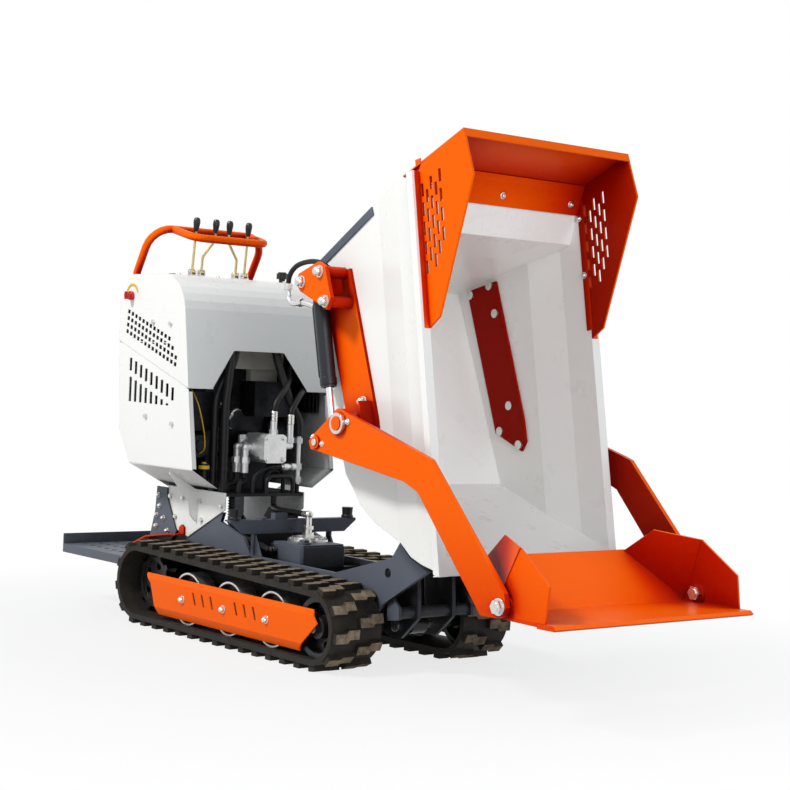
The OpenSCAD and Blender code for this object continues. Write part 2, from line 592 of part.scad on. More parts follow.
module lever_forks() color("silver") {
  box([-660, -140, valve_z], [-500, 140, 1118]);
  both() box([-600, 140, 1090], [-560, cowl_h - sheet_t, 1102]);
  for (y = lever_y) {
    bar_z(lever_x, y, 13, 1118, 1168);
    box([lever_x - 10, y - 11, 1166], [lever_x + 10, y + 11, 1172]);
    for (s = [-1, 1]) difference() {
      translate([0, y + 9 * s, 0]) union() {
        box([lever_x - 10, -2, 1166], [lever_x + 10, 2, lever_z]);
        bar_y(lever_x, lever_z, 20, -2, 2);
      }
      bar_y(lever_x, lever_z, 8 + run, y - 20, y + 20);
    }
    bar_y(lever_x, lever_z, 8, y - 13, y + 13);
  }
}
module lever_boots() color("dimgray") {
  for (y = lever_y) translate([lever_x, y, 1152]) rotate_extrude()
    polygon([[6.6, -1], [16, -1], [16, 4], [13, 6], [15, 9], [11, 11], [12, 13.5], [6.6, 13.5]]);
  translate([-618, -178, hood_z]) oval_grommet();
}
// oval rubber grommet on the hood
module oval_grommet() for (k = [0 : 2]) translate([0, 0, 3 * k]) linear_extrude(3) {
  circle(15 - 4 * k);
  translate([36, 0]) circle(15 - 4 * k);
  translate([0, 4 * k - 15]) square([36, 30 - 8 * k]);
}
lean = atan2(20, 186);
rod_l = 139;
// straight outer lever
module rod_outer(y) translate([lever_x, y, lever_z]) difference() {
  union() {
    bar_y(0, 0, 17, -6.5, 6.5);
    rotate([0, lean, 0]) cylinder(d = lever_d, h = rod_l);
  }
  bar_y(0, 0, 8 + run, -7, 7);
}
// inner lever, cranked toward the middle
module rod_inner(y, s) translate([lever_x, y, lever_z]) difference() {
  union() {
    bar_y(0, 0, 17, -6.5, 6.5);
    rotate([0, lean, 0]) sweep(route([[0, 0, 5], [0, 0, 54], [0, 42 * s, 112], [0, 42 * s, rod_l]], 18,
      4), lever_d, 12);
  }
  bar_y(0, 0, 8 + run, -7, 7);
}
module grip(y, dy) translate([lever_x, y, lever_z]) rotate([0, lean, 0]) translate([0, dy,
  rod_l]) rotate_extrude()
  polygon([[0, 0], [knob_d * 0.3, 0], [knob_d * 0.36, 6], [knob_d * 0.5, 30], [knob_d * 0.48, 40],
    [knob_d * 0.34, 47], [0, 49]]);
module lever_rod_1() color("goldenrod") rod_outer(lever_y[0]);
module lever_rod_2() color("goldenrod") rod_inner(lever_y[1], 1);
module lever_rod_3() color("goldenrod") rod_inner(lever_y[2], -1);
module lever_rod_4() color("goldenrod") rod_outer(lever_y[3]);
module lever_knob_1() color("black") grip(lever_y[0], 0);
module lever_knob_2() color("black") grip(lever_y[1], 42);
module lever_knob_3() color("black") grip(lever_y[2], -42);
module lever_knob_4() color("black") grip(lever_y[3], 0);

bar_run = [[-715, 232, 1133], [-737, 232, 1174], [-641, 232, 1331], [-641, -232, 1331], [-737, -232, 1174],
  [-715, -232, 1133]];
bend_r = [17, 78];
hoop_run = [[-641, 150, 1331], [-497, 150, 1297], [-497, -150, 1297], [-641, -150, 1331]];
module handlebar() color("orangered") {
  sweep(bends(bar_run, [bend_r[0], bend_r[1], bend_r[1], bend_r[0]], 6), tube_d, 14);
  sweep(route(hoop_run, 45, 6), tube_d, 14);
  both() translate([-706, 232, 1127]) rotate([0, -51.6, 0]) cylinder(d = 52, h = 8);
}
module throttle_knob() color("red") {
  bar_y(throttle[0], throttle[1], 10, -cowl_h - 2, -cowl_h + 16);
  bar_y(throttle[0], throttle[1], 30, -cowl_h - 12, -cowl_h - 1);
  bar_y(throttle[0], throttle[1], 24, -cowl_h - 26, -cowl_h - 12);
  box([throttle[0] - 3, -cowl_h - 30, throttle[1] - 13], [throttle[0] + 3, -cowl_h - 20, throttle[1] + 13]);
}
module latch_knob() color("dimgray") {
  bar_z(latch[0], latch[1], 12, 1148, 1182);
  bar_z(latch[0], latch[1], 22, 1168, 1182);
  for (i = [0 : 4]) translate([latch[0], latch[1], 1182]) rotate(72 * i) translate([14, 0,
    0]) cylinder(d = 13, h = 20);
  bar_z(latch[0], latch[1], 30, 1182, 1206);
}

// operator's step

module step_platform() color("slategray") {
  difference() {
    box([-1118, -step_w / 2, 195], [-640, step_w / 2, 200]);
    for (i = [0 : 7]) for (j = [-3 : 3]) bar_z(-1080 + 52 * i, j * 66, 22, 194, 201);
    both() box([-766, panel_in - 0.3, 194], [-639, panel_in + 10.3, 201]);
  }
  box([-1118, -step_w / 2, 170], [-1113, step_w / 2, 237]);
  both() box([-1118, step_w / 2 - 5, 170], [-640, step_w / 2, 200]);
  both() box([-1113, panel_in - 10, 150], [-640, panel_in, 195]);
}
bracket_line = [[-588, 444], [-654, 444], [-662, 360], [-700, 240], [-760, 196], [-760, 155], [-640,
  155], [-624, 200],
  [-590, 250], [-540, 275], [-520, 299], [-586, 412]];
step_bolt_at = [[-640, 414], [-629, 378], [-649, 345], [-603, 338], [-649, 307], [-576, 297]];
module step_brackets() color("slategray") both() {
  plate(bracket_line, panel_in + 4, panel_in + 10);
  plate([[-640, 155], [-760, 155], [-760, 194], [-700, 240], [-664, 340], [-600, 340]], panel_in,
    panel_in + 4);
}
module step_bolts() for (p = step_bolt_at) dome_y(p[0], p[1], -panel_in - 10, 9);
fender_line = [[-745, 236], [-662, 268], [-513, 289], [-468, 291], [-468, 296], [-514, 294], [-664, 273],
  [-745, 241]];
module fenders() color("orangered") both() {
  plate(fender_line, panel_in + 10, panel_in + 45);
  plate([[-502, 291], [-468, 293], [-470, 318], [-485, 326], [-500, 316]], panel_in + 4, panel_in + 12);
}

// skip, in its own frame

// point of the tipped pose in the skip's own frame, and back
function to_skip(p) = let(x = p[0] - hinge_x, z = p[1] - hinge_z)
  [x * cos(tip_angle) - z * sin(tip_angle), x * sin(tip_angle) + z * cos(tip_angle)];
function to_world(p) = [hinge_x + p[0] * cos(tip_angle) + p[1] * sin(tip_angle),
  hinge_z - p[0] * sin(tip_angle) + p[1] * cos(tip_angle)];
floor_w = 55.5;
under_w = floor_w - skip_t;
jog_0 = 212;
jog_1 = 325;
rim_v = 429;
hem = 25;
side_line = [[-804, 27], [-190, 25], [-178, 27.5], [-123, 50], [-83, 62], [-16, 110], [68, 200], [123, 249],
  [214, 385], [232, 430], [-800, 790], [-853, 640], [-864, 528], [-864, 377]];
side_fold = [[narrow, -400], [base_y, -400], [base_y, jog_0], [wide + skip_t, jog_1], [wide + skip_t,
  rim_v - skip_t],
  [rim - skip_t, rim_v - skip_t], [rim - skip_t, rim_v - hem], [rim, rim_v - hem], [rim, rim_v], [wide,
    rim_v],
  [wide, jog_1 + 1], [narrow, jog_0 + 1]];
core_fold = [[-narrow - 1, -400], [narrow + 1, -400], [narrow + 1, jog_0], [wide + 1, jog_1], [wide + 1,
  rim_v],
  [-wide - 1, rim_v], [-wide - 1, jog_1], [-narrow - 1, jog_0]];
rear_line = [[-769, under_w], [-734, 388], [-727, 535], [-788, 583], [-852, 628], [-856, 628], [-866, 560],
  [-862, 560], [-854, 620], [-790, 583 - skip_t], [-727 - skip_t, 533], [-734 - skip_t, 388],
    [-769 - skip_t, under_w]];
// height of the rim's top face at u
function rim_at(u) = (rim_v - u * sin(rim_a)) / cos(rim_a);
front_a = atan2(345.5, 308);
// profile in Y and V drawn out along the slope of the rim
module along_rim(pts) rotate([0, rim_a, 0]) translate([-1100, 0, 0]) rotate([90, 0, 90])
  linear_extrude(1500) polygon(pts);
module skip_body() color("ivory") on_skip() {
  both() intersection() {
    along_rim(side_fold);
    plate(side_line, narrow - 1, rim + 1);
  }
  intersection() {
    along_rim(core_fold);
    union() {
      box([-769 - skip_t, -wide - 1, under_w], [-138, wide + 1, floor_w]);
      translate([-142, 0, floor_w]) rotate([0, -front_a, 0]) box([-1, -wide - 1, -skip_t], [466,
        wide + 1, 0]);
      plate(rear_line, -wide - 1, wide + 1);
    }
  }
  rotate([0, rim_a, 0]) {
    box([76, -rim, rim_v - skip_t], [128, rim, rim_v]);
    box([128 - skip_t, -rim, rim_v - hem], [128, rim, rim_v]);
  }
}
// dark rear shield, and the underframe with the hinge eyes and the tip cylinder's lugs
shield_line = [[-804, 27], [-735, 27], [-735, 31], [-800, 31], [-860, 377], [-864, 377]];
shield_lip = [[-804, 27], [-780, 27], [-840, 377], [-864, 377]];
rail_line = [[-740, under_w], [-740, 24], [-90, 24], [-28, 0], [28, 0], [30, under_w]];
module skip_underframe() color("slategray") on_skip() {
  plate(shield_line, -narrow, narrow);
  both() plate(shield_lip, base_y, base_y + 4);
  both() difference() {
    union() {
      plate(rail_line, hub_y + 16, hub_y + 28);
      bar_y(0, 0, 56, hub_y + 16, hub_y + 28);
    }
    bar_y(0, 0, hinge_d + run, hub_y, hub_y + 40);
  }
  box([-722, -narrow, 24], [-670, narrow, under_w]);
  box([-440, -narrow, 30], [-400, narrow, under_w]);
  both() plate([[-340, under_w], [head[0] - 24, head[1] - 8], [head[0] + 24, head[1] - 8], [-200,
    under_w]], 32, 44);
  both() bar_y(head[0], head[1], 52, 32, 44);
  bar_y(head[0], head[1], 25, -44, 44);
}
// spill guard on the rim: a back plate with a fold at each edge and two side plates with slots
slot = [35, 10];
slot_u = [-911, -891, -923, -903, -935];
slot_n = [5, 4, 5, 4, 4];
back_fold = [[-870, 560], [-873, 640], [-882, 829], [-858, 829], [-858, 825], [-878, 825], [-869, 640],
  [-866, 560]];
inner_fold = [[-872, 644], [-852, 628.3], [-797, 589.6], [-794.5, 593.2], [-850, 632], [-866, 646]];
guard_side = [[-853, rim_at(-853) + 3], [-432, rim_at(-432) + 3], [-445, 584], [-749, 826], [-882, 829],
  [-868, 640]];
module spill_guard() color("orangered") on_skip() {
  both() difference() {
    plate(guard_side, wide, wide + 6);
    rotate([0, rim_a, 0]) for (i = [0 : 4]) for (j = [0 : slot_n[i] - 1])
      let(u = slot_u[i] + 53 * j, v = rim_v + 12 + 18.7 * i)
        box([u - slot[0] / 2, wide - 1, v - slot[1] / 2], [u + slot[0] / 2, wide + 7, v + slot[1] / 2]);
  }
  plate(back_fold, -wide - 6, wide + 6);
  plate(inner_fold, -wide, wide);
  both() plate([[-853, rim_at(-853)], [-432, rim_at(-432)], [-432, rim_at(-432) + 3], [-853,
    rim_at(-853) + 3]],
    wide, rim - 8);
}

// loader

piv_s = to_skip(piv);
base_line = [[-754, 105], [-735, 236], [-290, 220], [-225, 209], [-204, 182], [-293, 90]];
long_bolts = [top, [-731, 208], [-640, 206]];
short_bolts = [[-351, 177], [-225, 180]];
// low bolt, which the lift rod passes over
low_bolt = [-291, 114];
plate_y = base_y + 10;
module loader_brackets() color("orangered") on_skip() both() {
  plate(base_line, base_y, plate_y);
  plate(base_line, narrow - 8, narrow);
  bar_y(piv_s[0], piv_s[1], 66, plate_y, arm_y - 1);
  bar_y(piv_s[0], piv_s[1], pivot_d, plate_y, arm_y + arm_t + 15);
  plate([[-340, 214], [-240, 206], [-240, 200], [-340, 208]], plate_y, plate_y + 46);
  for (p = [long_bolts[1], long_bolts[2]]) bar_y(p[0], p[1], 34, plate_y, clevis_y);
  bar_y(top[0], top[1], eye_d, plate_y, clevis_y);
  plate([[-764, 112], [-760, 212], [-735, 236], [-640, 234], [-614, 206], [-640, 180], [-712, 104],
    [-740, 92]],
    clevis_y, clevis_y + 12);
}
module bracket_bolts() color("silver") on_skip() both() mirror([0, 1, 0]) {
  for (p = long_bolts) dome_y(p[0], p[1], -clevis_y - 12, 18);
  for (p = short_bolts) dome_y(p[0], p[1], -plate_y, 16);
  dome_y(low_bolt[0], low_bolt[1], -plate_y, 10);
  for (p = concat(long_bolts, short_bolts, [low_bolt])) bar_y(p[0], p[1], 27, -narrow + 8, -narrow + 15);
  difference() {
    bar_y(piv_s[0], piv_s[1], pivot_d + 20, -arm_y - arm_t - 13, -arm_y - arm_t - 1);
    bar_y(piv_s[0], piv_s[1], pivot_d + run, -arm_y - arm_t - 14, -arm_y - arm_t);
  }
}
arm_line = [[518, 664], [538, 683], [639, 756], [676, 757], [1027, 657], [1060, 646], [1362, 335], [1372,
  300],
  [1362, 277], [1334, 270], [1277, 270], [1012, 558], [951, 582], [588, 635], [530, 642]];
dig_d = 24;
module loader_arm() {
  difference() {
    union() {
      plate(arm_line, arm_y, arm_y + arm_t);
      bar_y(piv[0], piv[1], 84, arm_y, arm_y + arm_t);
      bar_y(eye[0], eye[1], eye_d + 16, cyl_y + 14, arm_y + arm_t + 6);
    }
    bar_y(piv[0], piv[1], pivot_d + run, arm_y - 1, arm_y + arm_t + 1);
    bar_y(dig[0], dig[1], dig_d + run, arm_y - 1, arm_y + arm_t + 1);
    bar_y(eye[0], eye[1], eye_d + run, cyl_y + 13, arm_y + arm_t + 7);
  }
}
module loader_arm_left() color("orangered") loader_arm();
module loader_arm_right() color("orangered") mirror([0, 1, 0]) loader_arm();
// pivot bolts of the shovel and the eye pins of the lift cylinders
module shovel_pins() color("silver") both() {
  bar_y(eye[0], eye[1], eye_d, cyl_y - 15, arm_y + arm_t + 10);
  bar_y(eye[0], eye[1], eye_d + 14, cyl_y - 19, cyl_y - 14);
  bar_y(dig[0], dig[1], dig_d, half_w - 30, arm_y + arm_t + 16);
  translate([dig[0], half_w - 15, dig[1]]) rotate([90, 0, 0]) cylinder(d = 40, h = 12, $fn = 6);
  bar_y(dig[0], dig[1], 44, arm_y + arm_t, arm_y + arm_t + 3);
  translate([dig[0], arm_y + arm_t + 14, dig[1]]) rotate([90, 0, 0]) cylinder(d = 38, h = 11, $fn = 6);
}
// shovel with leaning side plates, folded rear corners, a sloped back and a cutting edge
half_w = shovel_w / 2;
shovel_t = 6;
side_lean = 7.2;
side_plate = [[1301, 0], [1491, 0], [1489, 98], [1370, 182], [1301, 7]];
heel = [1301, half_w, 275];
brow = [1370, half_w - 20, 449];
peak = [1244, half_w - 84, 467];
back = [1156.6, half_w - 105.5, 403];
// the corner panels run on past the back, and the back runs on into the floor
lap = [-3.2, -0.3, -3.9];
foot_edge = heel + [4.5, -1, -4];
function flip(p) = [p[0], -p[1], p[2]];
module shovel() color("orangered") {
  both() difference() {
    union() {
      translate([0, half_w, 268]) rotate([side_lean, 0, 0]) plate(side_plate, -shovel_t, 0);
      bar_y(dig[0], dig[1], 54, half_w - 13, half_w);
    }
    bar_y(dig[0], dig[1], dig_d + run, half_w - 20, half_w + 1);
  }
  both() sheet([back + lap, peak, brow, heel + lap], shovel_t);
  sheet([foot_edge, back, flip(back), flip(foot_edge)], shovel_t);
  plate([[1296, 268], [1480, 265], [1497, 265], [1497, 275], [1296, 275]], -half_w, half_w);
  plate([[1466, 262], [1528, 262], [1534, 266], [1524, 275], [1466, 275]], -half_w - 3, half_w + 3);
}

// lift cylinders
top_w = to_world(top);
cyl_l = norm(eye - top_w);
cyl_a = atan2(eye[0] - top_w[0], eye[1] - top_w[1]);
barrel_l = 307;
bore_d = barrel_d - 10;
pipe_x = barrel_d / 2 + 14;
pipe_run = [[pipe_x - 8, 0, 60], [pipe_x, 0, 60], [pipe_x, 0, 270], [pipe_x - 15, 0, 285]];
module loader_barrel() translate([top_w[0], cyl_y, top_w[1]]) rotate([0, cyl_a, 0]) difference() {
  union() {
    bar_y(0, 0, 44, -12, 12);
    translate([0, 0, 14]) cylinder(d = barrel_d, h = barrel_l - 14);
    translate([0, 0, barrel_l - 26]) cylinder(d = barrel_d + 4, h = 20);
    bar_x(0, 60, 16, 10, barrel_d / 2 + 8);
    sweep(route(pipe_run, 10, 3), 10, 8);
  }
  translate([0, 0, 40]) cylinder(d = bore_d, h = barrel_l - 40 - 10);
  translate([0, 0, 40]) cylinder(d = bore_d - 2, h = barrel_l);
  bar_y(0, 0, eye_d + run, -13, 13);
}
module loader_rod() translate([eye[0], cyl_y, eye[1]]) rotate([0, cyl_a + 180, 0]) difference() {
  union() {
    bar_y(0, 0, 44, -12, 12);
    translate([0, 0, 15]) cylinder(d = rod_d, h = 270);
    translate([0, 0, 18]) cylinder(d = rod_d + 10, h = 14);
  }
  bar_y(0, 0, eye_d + run, -13, 13);
}
module loader_barrel_left() color("black") loader_barrel();
module loader_barrel_right() color("black") mirror([0, 1, 0]) loader_barrel();
module loader_rod_left() color("silver") loader_rod();
module loader_rod_right() color("silver") mirror([0, 1, 0]) loader_rod();

// tip cylinder under the skip
head_w = to_world(head);
tip_a = atan2(head_w[0] - foot[0], head_w[1] - foot[1]);
module tip_barrel() color("black") translate([foot[0], 0, foot[1]]) rotate([0, tip_a, 0]) difference() {
  union() {
    bar_y(0, 0, 54, -28, 28);
    translate([0, 0, 20]) cylinder(d = 60, h = 280);
  }
  translate([0, 0, 45]) cylinder(d = 46, h = 240);
  translate([0, 0, 45]) cylinder(d = 31, h = 300);
  bar_y(0, 0, 25 + run, -29, 29);
}
module tip_rod() color("silver") translate([head_w[0], 0, head_w[1]]) rotate([0, tip_a + 180,
  0]) difference() {
  union() {
    bar_y(0, 0, 46, -26, 26);
    translate([0, 0, 18]) cylinder(d = 30, h = 222);
    translate([0, 0, 236]) cylinder(d = 45, h = 22);
  }
  bar_y(0, 0, 25 + run, -29, 29);
}

chassis_frame();
pivot_pins();
track_frames();
track_left();
track_right();
sprocket_left();
sprocket_right();
drive_motors();
idler_left();
idler_right();
roller_left_1();
roller_left_2();
roller_left_3();
roller_right_1();
roller_right_2();
roller_right_3();
track_guards();
hydraulic_tank();
tank_cover();
rest_rail();
rest_buffers();
cowl_base();
lower_cowl();
upper_cowl();
frame_bolts();
engine();
fuel_tank();
hydraulic_pump();
hoses();
lever_forks();
lever_boots();
lever_rod_1();
lever_rod_2();
lever_rod_3();
lever_rod_4();
lever_knob_1();
lever_knob_2();
lever_knob_3();
lever_knob_4();
handlebar();
throttle_knob();
latch_knob();
step_platform();
step_brackets();
fenders();
skip_body();
skip_underframe();
spill_guard();
loader_brackets();
bracket_bolts();
loader_arm_left();
loader_arm_right();
shovel_pins();
shovel();
loader_barrel_left();
loader_barrel_right();
loader_rod_left();
loader_rod_right();
tip_barrel();
tip_rod();
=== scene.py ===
import json
import math
import bpy
import bmesh
from mathutils import Matrix, Vector


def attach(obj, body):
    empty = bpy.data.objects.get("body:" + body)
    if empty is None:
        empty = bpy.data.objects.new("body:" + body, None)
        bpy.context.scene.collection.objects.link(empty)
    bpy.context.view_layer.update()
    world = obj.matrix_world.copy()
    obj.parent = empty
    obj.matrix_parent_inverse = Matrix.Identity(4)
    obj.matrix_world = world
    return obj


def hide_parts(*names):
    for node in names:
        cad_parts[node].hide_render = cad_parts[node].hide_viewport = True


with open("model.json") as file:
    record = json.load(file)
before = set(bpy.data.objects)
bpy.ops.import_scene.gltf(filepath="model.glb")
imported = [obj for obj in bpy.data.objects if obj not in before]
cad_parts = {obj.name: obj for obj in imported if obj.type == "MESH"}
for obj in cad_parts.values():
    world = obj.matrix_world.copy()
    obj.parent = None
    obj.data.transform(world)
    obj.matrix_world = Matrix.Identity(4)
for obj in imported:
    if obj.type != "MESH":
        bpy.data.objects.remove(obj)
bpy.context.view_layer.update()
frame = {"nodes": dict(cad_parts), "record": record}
nodes = frame["nodes"]
scene = bpy.context.scene
UP = (0, 0, 1)


# camera, solved from the photograph: angles in degrees, lens and sensor in mm, place in metres

CAM_AZIMUTH, CAM_ELEVATION, CAM_ROLL = 51.095, 0.745, 2.408
CAM_LENS, CAM_SENSOR = 78.714, 36
CAM_PLACE = (4.49496, -3.28272, 0.86963)
CAM_REACH = 100


def set_camera():
    az, el, roll = (math.radians(a) for a in (CAM_AZIMUTH, CAM_ELEVATION, CAM_ROLL))
    back = Vector((math.sin(az) * math.cos(el), -math.cos(az) * math.cos(el), math.sin(el)))
    right = Vector((math.cos(az), math.sin(az), 0))
    up = back.cross(right)
    x = math.cos(roll) * right + math.sin(roll) * up
    y = -math.sin(roll) * right + math.cos(roll) * up
    data = bpy.data.cameras.new("camera")
    data.lens = CAM_LENS
    data.sensor_width = CAM_SENSOR
    data.sensor_fit = "HORIZONTAL"
    data.clip_end = CAM_REACH
    cam = bpy.data.objects.new("camera", data)
    scene.collection.objects.link(cam)
    rot = Matrix((x, y, back)).transposed().to_4x4()
    cam.matrix_world = Matrix.Translation(CAM_PLACE) @ rot
    scene.camera = cam


set_camera()


# materials

def scaled(col, k):
    return tuple(c * k for c in col)


class Nodes:
    """Small helper that builds a material's node tree."""

    def __init__(self, name):
        self.mat = bpy.data.materials.new(name)
        self.mat.use_nodes = True
        self.tree = self.mat.node_tree
        self.bsdf = self.tree.nodes["Principled BSDF"]
        self.coord = self.add("ShaderNodeTexCoord")

    def add(self, kind, **values):
        """New node; each value goes to the input of that name, or else to the property."""
        n = self.tree.nodes.new(kind)
        for k, v in values.items():
            if k in n.inputs:
                n.inputs[k].default_value = v
            else:
                setattr(n, k, v)
        return n

    def link(self, a, b):
        self.tree.links.new(a, b)

    def put(self, sock, v):
        """Sets a number or a colour on a socket, or links an output to it."""
        if isinstance(v, (int, float)):
            sock.default_value = v
        elif isinstance(v, tuple):
            sock.default_value = (*v, 1)
        else:
            self.link(v, sock)

    def shader(self, name, v):
        self.put(self.bsdf.inputs[name], v)

    def noise(self, scale, detail, rough=0.55):
        n = self.add("ShaderNodeTexNoise", Scale=scale, Detail=detail, Roughness=rough)
        self.link(self.coord.outputs["Object"], n.inputs["Vector"])
        return n.outputs["Fac"]

    def ramp(self, src, stops):
        r = self.add("ShaderNodeValToRGB")
        e = r.color_ramp.elements
        while len(e) < len(stops):
            e.new(0.5)
        for el, (pos, col) in zip(e, stops):
            el.position = pos
            el.color = (*col, 1)
        self.link(src, r.inputs["Fac"])
        return r.outputs["Color"]

    def drift(self, src, col, shade, lo=0.3, hi=0.7):
        """Colour that follows a noise from its shaded tone up to itself."""
        return self.ramp(src, [(lo, scaled(col, shade)), (hi, col)])

    def span(self, src, lo, hi, a=0.0, b=1.0):
        """Carries the range lo to hi over to a to b, and holds the ends."""
        m = self.add("ShaderNodeMapRange")
        for k, v in zip(("From Min", "From Max", "To Min", "To Max"), (lo, hi, a, b)):
            m.inputs[k].default_value = v
        self.link(src, m.inputs["Value"])
        return m.outputs["Result"]

    def mix(self, fac, a, b):
        m = self.add("ShaderNodeMix", data_type="RGBA")
        for sock, v in ((m.inputs[0], fac), (m.inputs[6], a), (m.inputs[7], b)):
            self.put(sock, v)
        return m.outputs[2]

    def math(self, op, a, b=0.0):
        m = self.add("ShaderNodeMath", operation=op)
        for sock, v in zip(m.inputs, (a, b)):
            self.put(sock, v)
        return m.outputs[0]

    def length(self, x, z):
        squares = self.math("MULTIPLY", x, x), self.math("MULTIPLY", z, z)
        return self.math("SQRT", self.math("ADD", *squares))

    def axes(self, output):
        """X, Y and Z of one of the texture coordinates."""
        sep = self.add("ShaderNodeSeparateXYZ")
        self.link(self.coord.outputs[output], sep.inputs[0])
        return sep.outputs

    def surface(self, height, strength, distance, radius):
        """Bump on top of softly rounded edges."""
        bev = self.add("ShaderNodeBevel", Radius=radius)
        b = self.add("ShaderNodeBump", Strength=strength, Distance=distance)
        self.link(height, b.inputs["Height"])
        self.link(bev.outputs["Normal"], b.inputs["Normal"])
        self.shader("Normal", b.outputs["Normal"])

    def low_dust(self, top):
        """1 at the ground, fading to 0 at the height top."""
        return self.span(self.axes("Object")["Z"], 0.0, top, 1.0, 0.0)

    def edges(self, radius):
        """Bright on convex edges: the difference between a bevelled and a flat normal."""
        bev = self.add("ShaderNodeBevel", Radius=radius)
        geo = self.add("ShaderNodeNewGeometry")
        dot = self.add("ShaderNodeVectorMath", operation="DOT_PRODUCT")
        self.link(bev.outputs["Normal"], dot.inputs[0])
        self.link(geo.outputs["Normal"], dot.inputs[1])
        return self.span(dot.outputs["Value"], 0.995, 0.86)

    def shine(self, rough, coat=0.0, specular=0.5, ior=1.5, tint=(1, 1, 1)):
        """Plain gloss values, set on the shader itself; a link may vary the roughness later."""
        self.shader("IOR", ior)
        self.shader("Specular Tint", tint)
        self.shader("Coat Weight", coat)
        self.shader("Coat Roughness", 0.1)
        self.shader("Specular IOR Level", specular)
        self.shader("Roughness", rough)


SOIL = (0.22, 0.18, 0.13)
SOIL_TOP = 0.9      # height in metres at which soiling ends
CHIP_EDGE = 0.0018  # width of an edge that chips
SKY_REACH = 1.0     # how far the painted shade in recesses looks for cover
EVERYWHERE = -1.0   # a height below the ground


def paint(name, col, rough, peel, wear, wear_col, shade, dust=0.0, coat=0.0, specular=0.4, ior=1.5,
          tint=(1, 1, 1), shade_tones=None, low=EVERYWHERE):
    """Powder-coated sheet: colour drift, orange peel, soiling low down, worn edges
    and painted shade in recesses.

    The recess tones are painted shade: darker colours, each behind the openness that it
    stands for, and low is the height that they start from.
    """
    n = Nodes(name)
    base = n.drift(n.noise(3.1, 4.0), col, shade)
    smudge = n.noise(9.0, 6.0, 0.65)
    # painted shade: an ambient occlusion node darkens the colour in recesses above the height low
    if shade_tones:
        sky = n.add("ShaderNodeAmbientOcclusion", Distance=SKY_REACH, samples=16)
        recess_shade = n.ramp(sky.outputs["AO"], shade_tones)
        covered = n.math("LESS_THAN", sky.outputs["AO"], shade_tones[-1][0])
        above = n.span(n.axes("Object")["Z"], low, low + 0.1)
        base = n.mix(n.math("MULTIPLY", covered, above), base, recess_shade)
    if dust:
        d = n.math("MULTIPLY", n.low_dust(SOIL_TOP), n.span(smudge, 0.42, 0.72))
        base = n.mix(n.math("MULTIPLY", d, dust), base, SOIL)
    chips = n.math("MULTIPLY", n.edges(CHIP_EDGE), n.span(n.noise(60.0, 5.0), 0.47, 0.6))
    base = n.mix(n.math("MULTIPLY", chips, wear), base, wear_col)
    n.shine(rough, coat, specular, ior, tint)
    n.shader("Base Color", base)
    n.shader("Roughness", n.span(smudge, 0.3, 0.75, rough * 0.8, rough * 1.3))
    n.surface(n.noise(420.0, 2.0), peel, 0.002, 0.003)
    return n.mat


def metal(name, col, rough, grain, scale=60.0, grime=0.3, whole=1.0):
    """Bare or plated metal with a fine grain and grime in patches; whole is how metallic it is."""
    n = Nodes(name)
    g = n.noise(scale, 5.0, 0.6)
    patch = n.noise(14.0, 5.0, 0.6)
    base = n.drift(g, col, 1 - grain, 0.25, 0.75)
    grimy = n.math("MULTIPLY", n.span(patch, 0.52, 0.78), grime)
    n.shader("Base Color", n.mix(grimy, base, scaled(col, 0.35)))
    n.shader("Metallic", whole)
    n.shader("Roughness", n.span(patch, 0.3, 0.7, rough * 0.75, rough * 1.35))
    n.surface(g, 0.08, 0.001, 0.0012)
    return n.mat


def rubber(name, col, rough, dust_col, dust):
    """Moulded rubber with dry dust on its high spots and in its pores."""
    n = Nodes(name)
    a = n.noise(30.0, 6.0, 0.65)
    b = n.noise(210.0, 3.0)
    base = n.drift(b, col, 0.7)
    base = n.mix(n.math("MULTIPLY", n.span(a, 0.38, 0.72), dust), base, dust_col)
    n.shine(rough, specular=0.3)
    n.shader("Base Color", base)
    n.shader("Roughness", n.span(a, 0.3, 0.7, rough * 0.85, rough * 1.15))
    n.surface(b, 0.25, 0.001, 0.001)
    return n.mat


def tread(name, col, dust_col, drive, idler, belt):
    """Track rubber: dry dust on the lugs' outer faces, a darker film between them, clean dark flanks.

    drive and idler are the X and Z of the two wheel centres, belt is the belt's outer radius at each.
    """
    n = Nodes(name)
    p = n.axes("Object")
    nrm = n.axes("Normal")
    t = n.math("MINIMUM", n.math("MAXIMUM", n.span(p["X"], drive[0], idler[0]), 0.0), 1.0)
    dx = n.math("SUBTRACT", p["X"], n.span(t, 0, 1, drive[0], idler[0]))
    dz = n.math("SUBTRACT", p["Z"], n.span(t, 0, 1, drive[1], idler[1]))
    far = n.length(dx, dz)
    lift = n.math("SUBTRACT", far, n.span(t, 0, 1, belt[0], belt[1]))
    dot = n.math("ADD", n.math("MULTIPLY", dx, nrm["X"]), n.math("MULTIPLY", dz, nrm["Z"]))
    outward = n.span(n.math("DIVIDE", dot, far), 0.55, 0.85)
    top = n.math("MULTIPLY", outward, n.span(lift, 0.009, 0.014))
    film = n.math("MULTIPLY", n.span(n.noise(22.0, 6.0, 0.65), 0.35, 0.7), 0.35)
    base = n.drift(n.noise(210.0, 3.0), col, 0.7)
    base = n.mix(film, base, scaled(dust_col, 0.2))
    dusty = n.math("MULTIPLY", top, n.span(n.noise(38.0, 6.0, 0.7), 0.35, 0.65, 0.25, 1.0))
    n.shine(0.85, specular=0.25)
    n.shader("Base Color", n.mix(dusty, base, dust_col))
    n.shader("Roughness", n.span(top, 0.0, 1.0, 0.7, 0.95))
    n.surface(n.noise(300.0, 3.0), 0.3, 0.001, 0.002)
    return n.mat


